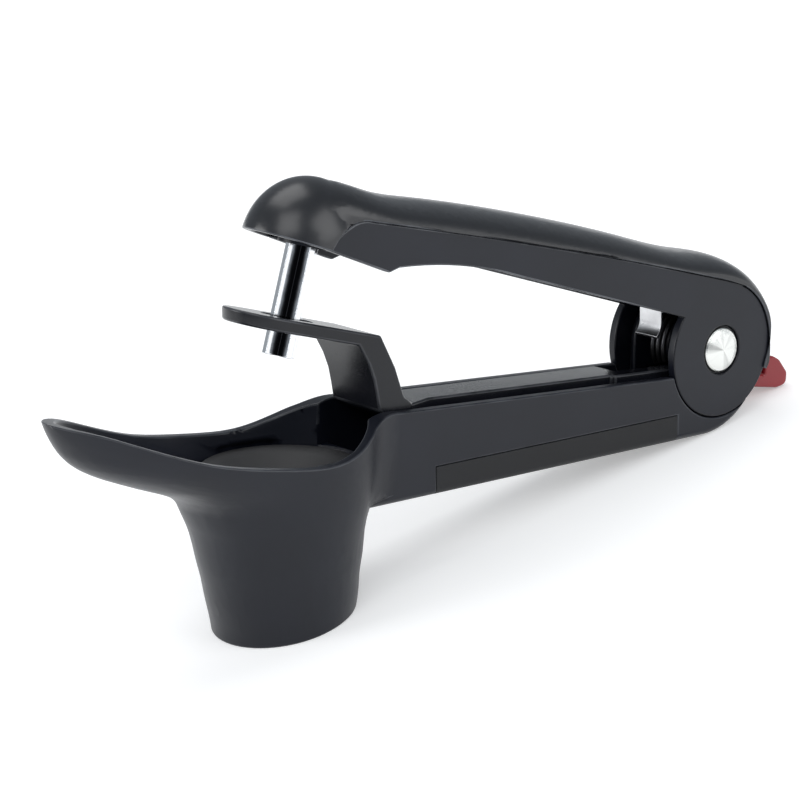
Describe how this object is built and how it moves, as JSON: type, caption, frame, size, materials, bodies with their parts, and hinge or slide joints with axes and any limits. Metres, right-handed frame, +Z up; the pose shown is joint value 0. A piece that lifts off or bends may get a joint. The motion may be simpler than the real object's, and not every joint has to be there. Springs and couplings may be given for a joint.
{
  "type": "cherry pitter",
  "caption": "Hand-held cherry pitter: a lever with a cross-section punch over a fruit cup with an oval dish, a hinged hold-down arm, a return spring and a sliding lock.",
  "frame": {"origin": "middle of the open mouth of the cup, on the plane the tool stands on", "axes": "+X from the cup towards the hinge and the lock, +Y across the tool away from the pin's domed head, +Z up from the plane the tool stands on"},
  "size_m": [0.1974, 0.0382, 0.0896],
  "materials": {
    "satin_black": "satin",
    "gloss_black": "glossy",
    "grip_black": "matte",
    "seat_rubber": "soft",
    "polished_steel": "turned and polished",
    "brushed_steel": "rolled",
    "spring_steel": "bright drawn wire",
    "screw_steel": "bright",
    "chrome_rod": "polished",
    "burgundy_plastic": "semi-gloss"
  },
  "bodies": {
    "base": {"lower_handle": "satin_black", "lower_grip": "grip_black", "cherry_seat": "seat_rubber", "hinge_pin": "polished_steel", "hinge_cap": "polished_steel", "hinge_washers": "brushed_steel", "spring_bush": "satin_black", "return_spring": "spring_steel", "slider_keeper": "satin_black", "keeper_screws": "screw_steel"},
    "lever": {"upper_lever": "satin_black", "upper_cover": "gloss_black", "punch_rod": "chrome_rod", "punch_holder": "satin_black", "punch_screws": "screw_steel", "latch_plate": "brushed_steel", "latch_screw": "screw_steel", "press_leaf": "spring_steel", "leaf_rivet": "screw_steel"},
    "arm": {"hold_down_arm": "satin_black"},
    "slider": {"lock_slider": "burgundy_plastic"}
  },
  "joints": [
    {"name": "lever_hinge", "type": "hinge", "parent": "base", "child": "lever", "pos_m": [0.12573, 0, 0.01926], "axis": [0, -1, 0], "range_deg": [0, 15], "stiffness_Nm_per_rad": 1.5, "springref_deg": -8.59, "deforming": ["return_spring"]},
    {"name": "arm_hinge", "type": "hinge", "parent": "base", "child": "arm", "pos_m": [0.12573, 0, 0.01926], "axis": [0, -1, 0], "range_deg": [0, 8.62]},
    {"name": "lock_slide", "type": "slide", "parent": "base", "child": "slider", "axis": [-0.9383, 0, 0.346], "range_m": [0, 0.0045]}
  ],
  "couplings": [
    {"joint": "arm_hinge", "follows": "lever_hinge", "ratio": 0.575}
  ]
}
